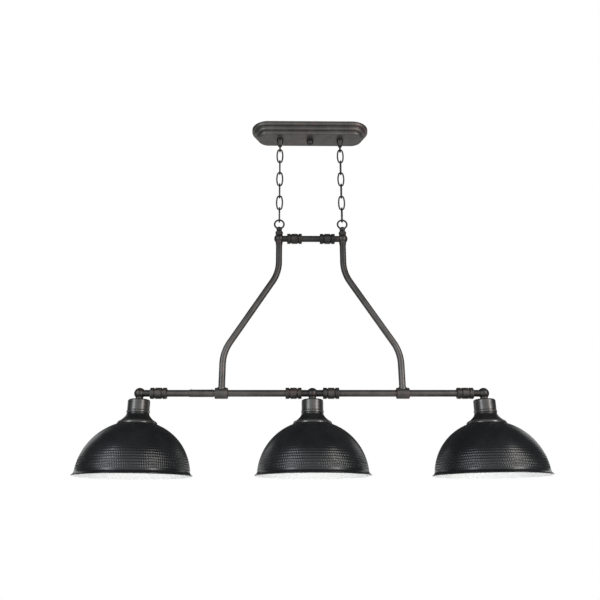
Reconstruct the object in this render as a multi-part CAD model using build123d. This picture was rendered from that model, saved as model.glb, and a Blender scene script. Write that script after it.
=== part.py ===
from build123d import *
import math
import os

# Linear island pendant: a stepped canopy, two chains, a trapezoid tube frame and three dome shades.
# Millimetres. The origin is the middle of the ceiling strap's top face, +Z is up, +X runs along
# the bar and -Y faces the viewer. Everything hangs below the origin, on its two chains.

# ---- canopy and what holds it ----
CANOPY_LENGTH = 364.0
CANOPY_WIDTH = 104.0
CANOPY_DEPTH = 34.0
CANOPY_WALL = 1.2
CANOPY_TIERS = 3
TIER_INSET = 8.5
TIER_ROUND = 5.0
STRAP_LENGTH = 124.0
STRAP_WIDTH = 22.0
STRAP_THICKNESS = 2.4
BOX_SCREW_SPACING = 88.9
BOX_SLOT_LENGTH = 14.0
BOX_SLOT_WIDTH = 4.8
STUD_RADIUS = 2.4
STUD_PROTRUSION = 9.0
STUD_NUT_FLATS = 8.2
STUD_NUT_HEIGHT = 3.0
KNOB_RADIUS = 10.4
KNOB_HEIGHT = 17.0
KNOB_ROUND = 8.3
KNOB_CHAMFER = 0.8
GROUND_SCREW_X = 22.0
GROUND_SCREW_RADIUS = 2.4
GROUND_HEAD_RADIUS = 4.3
GROUND_HEAD_HEIGHT = 2.2

# ---- loops under the canopy ----
LOOP_WIRE = 5.0
LOOP_OUTER = 24.0
LOOP_DROP = 42.6
LOOP_COLLAR_RADIUS = 10.4
LOOP_COLLAR_TOP_RADIUS = 9.2
LOOP_COLLAR_DROP = 2.8
LOOP_COLLAR_BAND = 3.0
LOOP_COLLAR_ROUND = 1.2
LOOP_NECK_RADIUS = 5.6
STEM_RADIUS = 4.75
STEM_END = 3.0
NUT_FLATS = 16.0
NUT_HEIGHT = 5.0

# ---- chains ----
CHAIN_X = 94.0
LINKS_PER_CHAIN = 6
LINK_LENGTH = 50.2
LINK_WIDTH = 22.2
LINK_WIRE = 4.6
LINK_END_RADIUS = 6.6
LINK_GAP = 0.25
OPEN_PIVOT_GAP = 0.4

# ---- eye loops on the frame ----
EYE_WIRE = 5.2
EYE_OUTER = 33.0
EYE_RISE = 64.0
EYE_COLLAR_RADIUS = 11.2
EYE_COLLAR_HEIGHT = 8.5
EYE_COLLAR_EDGE = 1.2
EYE_FOOT_HEIGHT = 2.2
EYE_NECK_RADIUS = 7.7
EYE_HEAD_RADIUS = 8.8
EYE_HEAD_EDGE = 1.2
EYE_HEAD_SHOULDER = (0.72, 0.70)  # share of the head's radius, and of its height, where it is roundest
EYE_NECK_RISE = 15.0
EYE_NECK_BAND = 4.0
EYE_HEAD_RISE = 2.6
EYE_PIN_DEPTH = 8.5

# ---- tube frame ----
TUBE_RADIUS = 9.2
TUBE_WALL = 1.5
BALL_RADIUS = 14.8
BALL_CAVITY_RADIUS = 7.25
FRAME_HEIGHT = 460.0
HANGER_FOOT_X = 246.5
UPPER_BEND_ABOVE_BAR = 352.5
LOWER_BEND_ABOVE_BAR = 114.5
BEND_RADIUS = 115.0
BOSS_RADIUS = 10.2
BOSS_LENGTH = 17.5
SEAT_HEIGHT = 13.5
SOCKET_DEPTH = 9.0
COUPLING_LENGTH = 43.6
COUPLING_RADIUS = 15.2
COUPLING_GROOVE = 3.0
COUPLING_GROOVE_RADIUS = 12.6
COUPLING_END_RING = 10.0
COUPLING_EDGE = 0.8
COUPLING_COVE = 0.4
BUTT_GAP = 0.5
BAR_COUPLING_OFFSET = 51.0
TOP_COUPLING_OFFSET = 45.5
TEE_LENGTH = 35.0
TEE_RADIUS = 15.0
TEE_BOSS_RADIUS = 11.4
TEE_BOSS_TOP = 16.2
TEE_CHAMFER = 1.2
TEE_FOOT_GAP = 2.0
SET_SCREW_RADIUS = 2.5
SET_SCREW_INSET = 0.6
SET_SCREW_KEY_FLATS = 2.25
SET_SCREW_KEY_DEPTH = 2.0
SLEEVE_LENGTH = 66.0
SLEEVE_RADIUS = 10.1
SLEEVE_FROM_CENTRE = 300.5
SLEEVE_CHAMFER = 0.5
SLEEVE_PIN_RADIUS = 1.8
SLEEVE_PIN_HEIGHT = 0.7
SLEEVE_PIN_OFFSET = 27.7

# ---- lamps ----
LAMP_SPACING = 467.0
CUP_RADIUS = 29.2
CUP_HEIGHT = 29.0
CUP_ROUND = 4.5
CUP_WALL = 1.0
HOLDER_WALL = 1.2
HOLDER_BEAD_RADIUS = 31.0
HOLDER_BEAD_HEIGHT = 7.0
HOLDER_BEAD_SHOULDER = 2.0
HOLDER_SPIGOT = 8.0
HOLDER_NECK_RADIUS = 29.7
HOLDER_NECK_LENGTH = 3.5
HOLDER_RIM_RADIUS = 52.5
HOLDER_RIM_HEIGHT = 8.5
HOLDER_RIM_INSET = 7.0
HOLDER_RIM_ROLL = (0.80, 0.66)  # share of the way out, and of the way up, where the rim bulges most
HOLDER_FLARE = (0.34, 0.46)  # the same for the skirt, where it is most hollow
HOLDER_FLARE_FACING = (0.8, 0.6)  # the way that the skirt's outside faces there, from its inside
SHADE_RADIUS = 146.5
SHADE_HEIGHT = 143.0
SHADE_WALL = 1.2
SHADE_RIM_FLARE = 6.0
SHADE_RIM_BELOW_BAR = 217.0
SHADE_CROWN_RADIUS = 40.0
LIP_HEIGHT = 13.0
LIP_BEAD = 2.0
LIP_OVERLAP = 0.1  # share of the bead's radius that the lip's sheet runs into it
SOCKET_RADIUS = 19.9
SOCKET_LENGTH = 80.0
SOCKET_NECK_RADIUS = 9.5
SOCKET_NECK_LENGTH = 4.0
SOCKET_SHOULDER = 3.0
SOCKET_EDGE = 0.8
SOCKET_WELL_RADIUS = 5.0
SOCKET_WELL_DEPTH = 4.0
SHELL_RADIUS = 13.3
SHELL_WALL = 0.6
SHELL_DEPTH = 27.0
SHELL_INSET = 1.5
RING_RADIUS = 30.0
RING_HEIGHT = 8.0
RING_FLANGE = 2.5
RING_STEP = 4.0
RING_GRIPS = 8
RING_GRIP_RADIUS = 1.6
NIPPLE_RADIUS = 4.9
NIPPLE_WALL = 1.3
NIPPLE_TOP = 8.0
NIPPLE_DEPTH = 9.0

# ---- fits ----
FIT = 0.05
RUNNING = 0.3
WIREWAY_RADIUS = 2.6
CUT = 1.0  # how far a cutting tool runs past the face that it opens

# ---- heights worked out from the sizes above ----
PAN_UNDERSIDE = -CANOPY_DEPTH
LOOP_BOTTOM = PAN_UNDERSIDE - LOOP_DROP
LINK_PITCH = LINK_LENGTH - 2 * LINK_WIRE - LINK_GAP
FIRST_LINK_TOP = LOOP_BOTTOM + LOOP_WIRE + LINK_GAP + LINK_WIRE
LAST_LINK_BOTTOM = FIRST_LINK_TOP - (LINKS_PER_CHAIN - 1) * LINK_PITCH - LINK_LENGTH
EYE_TOP = LAST_LINK_BOTTOM + LINK_WIRE + LINK_GAP + EYE_WIRE
TOP_Z = EYE_TOP - EYE_RISE
BAR_Z = TOP_Z - FRAME_HEIGHT
RIM_Z = BAR_Z - SHADE_RIM_BELOW_BAR
CUP_TOP = BAR_Z - BOSS_LENGTH
CUP_BOTTOM = CUP_TOP - CUP_HEIGHT
SOCKET_TOP = CUP_TOP - CUP_WALL
SOCKET_MOUTH_Z = SOCKET_TOP - SOCKET_LENGTH
SHELL_FLOOR_Z = SOCKET_MOUTH_Z + SHELL_INSET + SHELL_DEPTH


def turned(*edges):
    """Turn an outline, drawn in the XZ plane, about the Z axis."""
    return revolve(Plane.XZ * make_face(edges), Axis.Z)


def turned_points(points):
    """Turn a straight-sided outline, given as (radius, height) points, about the Z axis."""
    return turned(Polyline(*points, close=True))


def rod(radius, bottom, top):
    """An upright cylinder on the Z axis between two heights."""
    return Pos(0, 0, bottom) * extrude(Circle(radius), top - bottom)


def along_x(shape):
    """Lay a shape that was built on the Z axis along the X axis."""
    return Rot(0, 90, 0) * shape


def hexagon(flats, bottom, top):
    """A hexagonal prism on the Z axis."""
    return Pos(0, 0, bottom) * extrude(RegularPolygon(flats / 2, 6, major_radius=False), top - bottom)


# ---- canopy ----
def tiered_pan(inset, lift):
    """Solid stepped racetrack, each tier smaller than the one above and rounded at its foot."""
    tier_depth = CANOPY_DEPTH / CANOPY_TIERS
    body = Part()
    for tier in range(CANOPY_TIERS):
        shrink = 2 * (inset + tier * TIER_INSET)
        outline = SlotOverall(CANOPY_LENGTH - shrink, CANOPY_WIDTH - shrink)
        foot = lift - tier_depth * (tier + 1)
        block = Pos(0, 0, foot) * extrude(outline, -foot)
        rim = block.edges().group_by(Axis.Z)[0]
        body += fillet(rim, TIER_ROUND)
    return body


def canopy_pan():
    """Pressed pan, open to the ceiling, with holes for the two loops and the stud."""
    pan = tiered_pan(0, 0) - tiered_pan(CANOPY_WALL, CANOPY_WALL)
    for x in (-CHAIN_X, CHAIN_X):
        pan -= Pos(x, 0, 0) * rod(STEM_RADIUS + FIT, PAN_UNDERSIDE - CUT, PAN_UNDERSIDE + CANOPY_WALL + CUT)
    return pan - rod(STUD_RADIUS + RUNNING, PAN_UNDERSIDE - CUT, PAN_UNDERSIDE + CANOPY_WALL + CUT)


def mounting_strap():
    """Flat strap that screws to the ceiling box through two slots."""
    underside = -STRAP_THICKNESS
    strap = Pos(0, 0, underside) * extrude(SlotOverall(STRAP_LENGTH, STRAP_WIDTH), STRAP_THICKNESS)
    for x in (-BOX_SCREW_SPACING / 2, BOX_SCREW_SPACING / 2):
        slot = SlotOverall(BOX_SLOT_LENGTH, BOX_SLOT_WIDTH)
        strap -= Pos(x, 0, underside - CUT) * extrude(slot, STRAP_THICKNESS + 2 * CUT)
    strap -= rod(STUD_RADIUS, underside - CUT, CUT)
    return strap - Pos(GROUND_SCREW_X, 0, 0) * rod(GROUND_SCREW_RADIUS, underside - CUT, CUT)


def canopy_stud():
    """Stud from the strap down through the pan, with a nut that jams it under the strap."""
    stud = rod(STUD_RADIUS, PAN_UNDERSIDE - STUD_PROTRUSION, 0)
    return stud + hexagon(STUD_NUT_FLATS, -STRAP_THICKNESS - STUD_NUT_HEIGHT, -STRAP_THICKNESS)


def finial_knob():
    """Turned knob with a round end that screws onto the stud under the pan."""
    top = PAN_UNDERSIDE - RUNNING
    bottom = top - KNOB_HEIGHT
    body = rod(KNOB_RADIUS, bottom, top)
    rims = body.edges().filter_by(GeomType.CIRCLE).sort_by(Axis.Z)
    body = fillet(rims[0], KNOB_ROUND)
    body = chamfer(body.edges().filter_by(GeomType.CIRCLE).sort_by(Axis.Z)[-1], KNOB_CHAMFER)
    return body - rod(STUD_RADIUS + FIT, PAN_UNDERSIDE - STUD_PROTRUSION - CUT, PAN_UNDERSIDE)


def ground_screw():
    """Green earthing screw in the strap."""
    head = rod(GROUND_HEAD_RADIUS, -STRAP_THICKNESS - GROUND_HEAD_HEIGHT, -STRAP_THICKNESS)
    return Pos(GROUND_SCREW_X, 0, 0) * (head + rod(GROUND_SCREW_RADIUS, -STRAP_THICKNESS, 0))


def wire_ring(outer, wire):
    """A round ring of wire, standing in the XZ plane about the origin."""
    return Rot(90, 0, 0) * Torus((outer - wire) / 2, wire / 2)


def canopy_loop(x):
    """Hollow screw stem, turned collar and a loop that faces along the bar."""
    ring_z = LOOP_BOTTOM + LOOP_OUTER / 2
    ring_top = LOOP_BOTTOM + LOOP_OUTER
    band_middle = PAN_UNDERSIDE - LOOP_COLLAR_DROP
    foot = ring_top - LOOP_WIRE
    collar = turned_points([
        (0, foot), (0, PAN_UNDERSIDE), (LOOP_COLLAR_TOP_RADIUS, PAN_UNDERSIDE),
        (LOOP_COLLAR_RADIUS, band_middle + LOOP_COLLAR_BAND / 2),
        (LOOP_COLLAR_RADIUS, band_middle - LOOP_COLLAR_BAND / 2), (LOOP_NECK_RADIUS, foot)])
    collar = fillet(collar.edges().filter_by(GeomType.CIRCLE).sort_by(Axis.Z)[1:3], LOOP_COLLAR_ROUND)
    stem = rod(STEM_RADIUS, PAN_UNDERSIDE, PAN_UNDERSIDE + CANOPY_WALL + NUT_HEIGHT + STEM_END)
    loop = Rot(0, 0, 90) * (Pos(0, 0, ring_z) * wire_ring(LOOP_OUTER, LOOP_WIRE))
    return Pos(x, 0, 0) * (collar + stem + loop - rod(WIREWAY_RADIUS, foot - LOOP_WIRE, 0))


def loop_nuts():
    """The two nuts that clamp the loops' stems inside the pan."""
    seat = PAN_UNDERSIDE + CANOPY_WALL
    top = seat + NUT_HEIGHT
    nut = hexagon(NUT_FLATS, seat, top) - rod(STEM_RADIUS, seat - CUT, top + CUT)
    return [Pos(x, 0, 0) * nut for x in (-CHAIN_X, CHAIN_X)]


# ---- chains ----
def chain_link(x, number):
    """Oval wire link of four arcs. Odd links face the viewer, even links are turned edge-on."""
    middle = FIRST_LINK_TOP - LINK_LENGTH / 2 - (number - 1) * LINK_PITCH
    wide = (LINK_WIDTH - LINK_WIRE) / 2
    high = (LINK_LENGTH - LINK_WIRE) / 2
    end = LINK_END_RADIUS
    rise = high - end
    side = (wide ** 2 + rise ** 2 - end ** 2) / (2 * (wide - end))
    lean = math.atan2(rise, side - wide)  # where the side arcs meet the end arcs
    x_join, z_join = end * math.cos(lean), rise + end * math.sin(lean)
    path = Wire([
        ThreePointArc((x_join, 0, -z_join), (wide, 0, 0), (x_join, 0, z_join)),
        ThreePointArc((x_join, 0, z_join), (0, 0, high), (-x_join, 0, z_join)),
        ThreePointArc((-x_join, 0, z_join), (-wide, 0, 0), (-x_join, 0, -z_join)),
        ThreePointArc((-x_join, 0, -z_join), (0, 0, -high), (x_join, 0, -z_join)),
    ])
    start = Plane(origin=(x_join, 0, -z_join), z_dir=(math.sin(lean), 0, math.cos(lean)))
    section = start * Circle(LINK_WIRE / 2)
    link = sweep(section, path)
    turn = 0 if number % 2 else 90
    return Pos(x, 0, middle) * (Rot(0, 0, turn) * link)


# ---- frame fittings ----
def eye_loop(x, gap):
    """Ring that faces the viewer, on a turned stem with a domed head and a collar.

    gap is the play between the ring's wire and the last link that carries it.
    """
    ring_z = EYE_TOP - EYE_OUTER / 2 + gap - LINK_GAP
    seat = TOP_Z + SEAT_HEIGHT
    collar_top = seat + EYE_COLLAR_HEIGHT - EYE_COLLAR_EDGE
    neck_foot = seat + EYE_NECK_RISE - EYE_NECK_BAND / 2
    neck_top = neck_foot + EYE_NECK_BAND
    head = ring_z - EYE_OUTER / 2 + EYE_WIRE + EYE_HEAD_RISE
    head_foot = neck_top + EYE_HEAD_EDGE
    shoulder = (EYE_HEAD_SHOULDER[0] * EYE_HEAD_RADIUS,
                head_foot + EYE_HEAD_SHOULDER[1] * (head - head_foot))
    collar_foot = seat + EYE_FOOT_HEIGHT
    stem = turned(
        Polyline((0, seat), (BOSS_RADIUS, seat), (BOSS_RADIUS, collar_foot),
                 (EYE_COLLAR_RADIUS, collar_foot + EYE_COLLAR_EDGE), (EYE_COLLAR_RADIUS, collar_top),
                 (EYE_NECK_RADIUS, neck_foot), (EYE_NECK_RADIUS, neck_top), (EYE_HEAD_RADIUS, head_foot)),
        ThreePointArc((EYE_HEAD_RADIUS, head_foot), shoulder, (0, head)),
        Line((0, head), (0, seat)))
    pin = rod(STEM_RADIUS, seat - EYE_PIN_DEPTH, seat)
    ring = Pos(0, 0, ring_z) * wire_ring(EYE_OUTER, EYE_WIRE)
    return Pos(x, 0, 0) * (stem + pin + ring - rod(WIREWAY_RADIUS, TOP_Z, head + CUT))


def hub(neck_sides, neck_reach, up, down):
    """Hollow cast ball about the origin with side necks and bosses above or below.

    neck_sides lists -1 and 1 for necks along X, as thick as the tube and neck_reach long.
    """
    ball = Sphere(BALL_RADIUS)
    for side in neck_sides:
        neck = along_x(rod(TUBE_RADIUS, 0, neck_reach))
        ball += neck if side > 0 else mirror(neck, about=Plane.YZ)
    if up:
        ball += rod(BOSS_RADIUS, 0, SEAT_HEIGHT)
        ball -= rod(BALL_RADIUS, SEAT_HEIGHT, BALL_RADIUS + CUT)
    if down:
        ball += rod(BOSS_RADIUS, -BOSS_LENGTH, 0)
    ball -= Sphere(BALL_CAVITY_RADIUS)
    for side in neck_sides:
        bore = along_x(rod(TUBE_RADIUS - 2 * TUBE_WALL, 0, neck_reach + CUT))
        ball -= bore if side > 0 else mirror(bore, about=Plane.YZ)
    return ball


def top_ball(side):
    """Corner ball: eye loop above, hanger tube below, crossbar neck to the middle."""
    ball = hub([-side], TOP_COUPLING_OFFSET - BUTT_GAP, True, True)
    ball -= rod(STEM_RADIUS, SEAT_HEIGHT - EYE_PIN_DEPTH, SEAT_HEIGHT + CUT)
    ball -= rod(TUBE_RADIUS, -BOSS_LENGTH - CUT, -BOSS_LENGTH + SOCKET_DEPTH)
    ball -= rod(TUBE_RADIUS - TUBE_WALL, -BOSS_LENGTH, 0)
    return Pos(side * CHAIN_X, 0, TOP_Z) * ball


def lamp_ball(x):
    """Ball over a lamp: an elbow at the bar's ends, a tee in its middle."""
    sides = [-1, 1] if x == 0 else [-int(math.copysign(1, x))]
    ball = hub(sides, BAR_COUPLING_OFFSET - BUTT_GAP, False, True)
    ball -= rod(NIPPLE_RADIUS, -BOSS_LENGTH - CUT, 0)
    return Pos(x, 0, BAR_Z) * ball


def coupling():
    """Turned coupling about the origin along X: a band between two grooves and two end rings."""
    half = COUPLING_LENGTH / 2
    ring_end = half - COUPLING_END_RING
    band_end = ring_end - COUPLING_GROOVE
    dip = COUPLING_GROOVE_RADIUS
    edge = COUPLING_EDGE
    cove = COUPLING_COVE
    side = [
        (0, COUPLING_RADIUS), (band_end - edge, COUPLING_RADIUS), (band_end + cove, dip + edge),
        (band_end + COUPLING_GROOVE / 2, dip), (ring_end - cove, dip + edge),
        (ring_end + edge, COUPLING_RADIUS), (half - edge, COUPLING_RADIUS),
        (half, COUPLING_RADIUS - edge), (half, TUBE_RADIUS), (0, TUBE_RADIUS)]
    half_turned = turned_points([(radius, place) for place, radius in side])
    whole = half_turned + mirror(half_turned, about=Plane.XY)
    return along_x(whole)


def tube(start_x, end_x, z):
    """Straight hollow tube along X."""
    whole = rod(TUBE_RADIUS, start_x, end_x) - rod(TUBE_RADIUS - TUBE_WALL, start_x - CUT, end_x + CUT)
    return Pos(0, 0, z) * along_x(whole)


def hanger_tube(side):
    """Bent tube from the corner ball down and out to the bar."""
    start = (CHAIN_X, 0, TOP_Z - BOSS_LENGTH + SOCKET_DEPTH)
    upper = (CHAIN_X, 0, BAR_Z + UPPER_BEND_ABOVE_BAR)
    lower = (HANGER_FOOT_X, 0, BAR_Z + LOWER_BEND_ABOVE_BAR)
    foot = (HANGER_FOOT_X, 0, BAR_Z + TUBE_RADIUS + TEE_FOOT_GAP)
    path = FilletPolyline(start, upper, lower, foot, radius=BEND_RADIUS)
    ends = Plane(origin=start, z_dir=(0, 0, -1))
    section = ends * (Circle(TUBE_RADIUS) - Circle(TUBE_RADIUS - TUBE_WALL))
    bent = sweep(section, path)
    return bent if side > 0 else mirror(bent, about=Plane.YZ)


def tee_clamp(side):
    """Tee that slides on the bar and takes the foot of a hanger tube."""
    barrel = along_x(rod(TEE_RADIUS, -TEE_LENGTH / 2, TEE_LENGTH / 2))
    barrel = chamfer(barrel.edges().filter_by(GeomType.CIRCLE), TEE_CHAMFER)
    tee = barrel + rod(TEE_BOSS_RADIUS, 0, TEE_BOSS_TOP)
    tee -= along_x(rod(TUBE_RADIUS, -TEE_LENGTH, TEE_LENGTH))
    tee -= rod(TUBE_RADIUS, 0, TEE_BOSS_TOP + CUT)
    tee -= Rot(-90, 0, 0) * rod(SET_SCREW_RADIUS, 0, TEE_RADIUS + CUT)
    return Pos(side * HANGER_FOOT_X, 0, BAR_Z) * tee


def tee_set_screws():
    """One headless screw at the back of each tee, with a hexagonal socket."""
    end = TEE_RADIUS - SET_SCREW_INSET
    screw = rod(SET_SCREW_RADIUS, TUBE_RADIUS, end)
    screw -= hexagon(SET_SCREW_KEY_FLATS, end - SET_SCREW_KEY_DEPTH, TEE_RADIUS)
    screw = Rot(-90, 0, 0) * screw
    return [Pos(side * HANGER_FOOT_X, 0, BAR_Z) * screw for side in (-1, 1)]


def bar_sleeve():
    """Thin sleeve pinned round the left arm of the bar."""
    middle = -SLEEVE_FROM_CENTRE
    sleeve = along_x(rod(SLEEVE_RADIUS, -SLEEVE_LENGTH / 2, SLEEVE_LENGTH / 2))
    sleeve = chamfer(sleeve.edges().filter_by(GeomType.CIRCLE), SLEEVE_CHAMFER)
    for x in (-SLEEVE_PIN_OFFSET, SLEEVE_PIN_OFFSET):
        sleeve += Pos(x, 0, 0) * rod(SLEEVE_PIN_RADIUS, 0, SLEEVE_RADIUS + SLEEVE_PIN_HEIGHT)
    sleeve -= along_x(rod(TUBE_RADIUS, -SLEEVE_LENGTH, SLEEVE_LENGTH))
    return Pos(middle, 0, BAR_Z) * sleeve


# ---- lamps, each built about x = 0 and moved to its place ----
def dome_height(radius):
    """Height above the rim of the dome's outer ellipse at a radius."""
    return SHADE_HEIGHT * math.sqrt(1 - (radius / SHADE_RADIUS) ** 2)


CROWN_Z = RIM_Z + dome_height(SHADE_CROWN_RADIUS)
HOLDER_FOOT_Z = RIM_Z + dome_height(HOLDER_RIM_RADIUS)
SHADE_HOLE_RADIUS = SOCKET_RADIUS + 2 * RUNNING


def socket_cup():
    """Drawn cup with a rounded shoulder, open below, over the head of the socket."""
    corner = CUP_TOP - CUP_ROUND
    outer = [Line((0, CUP_TOP), (CUP_RADIUS - CUP_ROUND, CUP_TOP)),
             RadiusArc((CUP_RADIUS - CUP_ROUND, CUP_TOP), (CUP_RADIUS, corner), CUP_ROUND),
             Line((CUP_RADIUS, corner), (CUP_RADIUS, CUP_BOTTOM))]
    inner_radius = CUP_RADIUS - CUP_WALL
    ceiling = CUP_TOP - CUP_WALL
    inner_round = CUP_ROUND - CUP_WALL
    inner = [Polyline((CUP_RADIUS, CUP_BOTTOM), (inner_radius, CUP_BOTTOM), (inner_radius, corner)),
             RadiusArc((inner_radius, corner), (inner_radius - inner_round, ceiling), -inner_round),
             Polyline((inner_radius - inner_round, ceiling), (0, ceiling), (0, CUP_TOP))]
    return turned(*outer, *inner) - rod(NIPPLE_RADIUS, ceiling - CUT, CUP_TOP + CUT)


def shade_holder():
    """Flared holder: a spigot inside the cup, a bead under it and a concave skirt to a rolled rim."""
    bead_foot = CUP_BOTTOM - HOLDER_BEAD_HEIGHT
    neck = HOLDER_NECK_RADIUS
    neck_foot = bead_foot - HOLDER_NECK_LENGTH
    rim_top = HOLDER_FOOT_Z + HOLDER_RIM_HEIGHT
    skirt_end = HOLDER_RIM_RADIUS - HOLDER_RIM_INSET
    bulge = (neck + HOLDER_FLARE[0] * (skirt_end - neck), rim_top + HOLDER_FLARE[1] * (neck_foot - rim_top))
    wall = HOLDER_WALL
    spigot = CUP_RADIUS - CUP_WALL - FIT
    spigot_top = CUP_BOTTOM + HOLDER_SPIGOT
    shoulder = (HOLDER_BEAD_RADIUS - HOLDER_BEAD_SHOULDER, CUP_BOTTOM)
    rim_side = (skirt_end + HOLDER_RIM_ROLL[0] * HOLDER_RIM_INSET,
                HOLDER_FOOT_Z + HOLDER_RIM_ROLL[1] * HOLDER_RIM_HEIGHT)
    outer = [Polyline((spigot, spigot_top), (spigot, CUP_BOTTOM), shoulder),
             ThreePointArc(shoulder, (HOLDER_BEAD_RADIUS, CUP_BOTTOM - HOLDER_BEAD_HEIGHT / 2),
                           (neck, bead_foot)),
             Line((neck, bead_foot), (neck, neck_foot)),
             ThreePointArc((neck, neck_foot), bulge, (skirt_end, rim_top)),
             ThreePointArc((skirt_end, rim_top), rim_side, (HOLDER_RIM_RADIUS, HOLDER_FOOT_Z))]
    inner_bulge = (bulge[0] - HOLDER_FLARE_FACING[0] * wall, bulge[1] - HOLDER_FLARE_FACING[1] * wall)
    inner_neck = (neck - wall, neck_foot - wall)
    lip = skirt_end - 2 * wall
    lip_foot = RIM_Z + dome_height(lip) + RUNNING
    inner = [Polyline((HOLDER_RIM_RADIUS, HOLDER_FOOT_Z), (lip, lip_foot), (lip, rim_top - wall)),
             ThreePointArc((lip, rim_top - wall), inner_bulge, inner_neck),
             Polyline(inner_neck, (spigot - wall, CUP_BOTTOM - wall),
                      (spigot - wall, spigot_top), (spigot, spigot_top))]
    return turned(*outer, *inner)


def shade():
    """Spun dome, an ellipse in section, with a flat crown, a turned-out lip and a beaded edge."""
    crown = CROWN_Z - RIM_Z
    wall = SHADE_WALL
    lip_angle = math.degrees(math.asin(LIP_HEIGHT / SHADE_HEIGHT))
    crown_angle = math.degrees(math.acos(SHADE_CROWN_RADIUS / SHADE_RADIUS))
    inner_lip = math.degrees(math.asin(LIP_HEIGHT / (SHADE_HEIGHT - wall)))
    inner_crown = math.degrees(math.asin((crown - wall) / (SHADE_HEIGHT - wall)))
    outer = EllipticalCenterArc((0, 0), SHADE_RADIUS, SHADE_HEIGHT, lip_angle,
                                arc_size=crown_angle - lip_angle)
    inner = EllipticalCenterArc((0, 0), SHADE_RADIUS - wall, SHADE_HEIGHT - wall, inner_lip,
                                arc_size=inner_crown - inner_lip)
    bead_x = SHADE_RADIUS + SHADE_RIM_FLARE - LIP_BEAD
    outer_lip = Line(outer @ 0, (bead_x, (2 - LIP_OVERLAP) * LIP_BEAD))
    inner_lip_line = Line(inner @ 0, (bead_x - (1 - LIP_OVERLAP) * LIP_BEAD, LIP_BEAD))
    section = make_face([
        outer, Polyline(outer @ 1, (SHADE_HOLE_RADIUS, crown), (SHADE_HOLE_RADIUS, crown - wall), inner @ 1),
        inner, inner_lip_line, Line(inner_lip_line @ 1, outer_lip @ 1), outer_lip])
    section += Pos(bead_x, LIP_BEAD) * Circle(LIP_BEAD)
    return Pos(0, 0, RIM_Z) * revolve(Plane.XZ * section, Axis.Z)


def lamp_socket():
    """Insulating lampholder body, screwed to the nipple, with a shoulder and an open mouth."""
    neck_foot = SOCKET_TOP - SOCKET_NECK_LENGTH
    shoulder = neck_foot - SOCKET_SHOULDER
    outer = SHELL_RADIUS + SHELL_WALL
    well_top = SHELL_FLOOR_Z + SOCKET_WELL_DEPTH
    body = turned_points([
        (0, SOCKET_TOP), (SOCKET_NECK_RADIUS, SOCKET_TOP), (SOCKET_NECK_RADIUS, neck_foot),
        (SOCKET_RADIUS - 2 * SOCKET_EDGE, shoulder), (SOCKET_RADIUS, shoulder - SOCKET_SHOULDER),
        (SOCKET_RADIUS, SOCKET_MOUTH_Z + SOCKET_EDGE), (SOCKET_RADIUS - SOCKET_EDGE, SOCKET_MOUTH_Z),
        (outer, SOCKET_MOUTH_Z), (outer, SHELL_FLOOR_Z), (SOCKET_WELL_RADIUS, SHELL_FLOOR_Z),
        (SOCKET_WELL_RADIUS, well_top), (0, well_top)])
    return body - rod(NIPPLE_RADIUS, SOCKET_TOP - NIPPLE_DEPTH, SOCKET_TOP + CUT)


def socket_shell():
    """Brass screw shell in the socket's mouth, closed at its upper end."""
    shell = rod(SHELL_RADIUS + SHELL_WALL, SOCKET_MOUTH_Z + SHELL_INSET, SHELL_FLOOR_Z)
    return shell - rod(SHELL_RADIUS, SOCKET_MOUTH_Z, SHELL_FLOOR_Z - SHELL_WALL)


def socket_nipple():
    """Hollow threaded nipple that joins ball, cup and socket."""
    top = BAR_Z - NIPPLE_TOP
    foot = SOCKET_TOP - NIPPLE_DEPTH
    return rod(NIPPLE_RADIUS, foot, top) - rod(NIPPLE_RADIUS - NIPPLE_WALL, foot - CUT, top + CUT)


def shade_ring():
    """Threaded ring on the socket that clamps the shade's crown up against the holder."""
    top = CROWN_Z - SHADE_WALL - RUNNING
    flange = top - RING_FLANGE
    foot = top - RING_HEIGHT
    body_radius = RING_RADIUS - RING_STEP
    ring = rod(RING_RADIUS, flange, top) + rod(body_radius, foot, flange)
    for grip in range(RING_GRIPS):
        place = Rot(0, 0, 360 * grip / RING_GRIPS) * Pos(body_radius, 0, 0)
        ring += place * rod(RING_GRIP_RADIUS, foot, flange)
    return ring - rod(SOCKET_RADIUS + RUNNING, foot - CUT, top + CUT)


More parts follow.
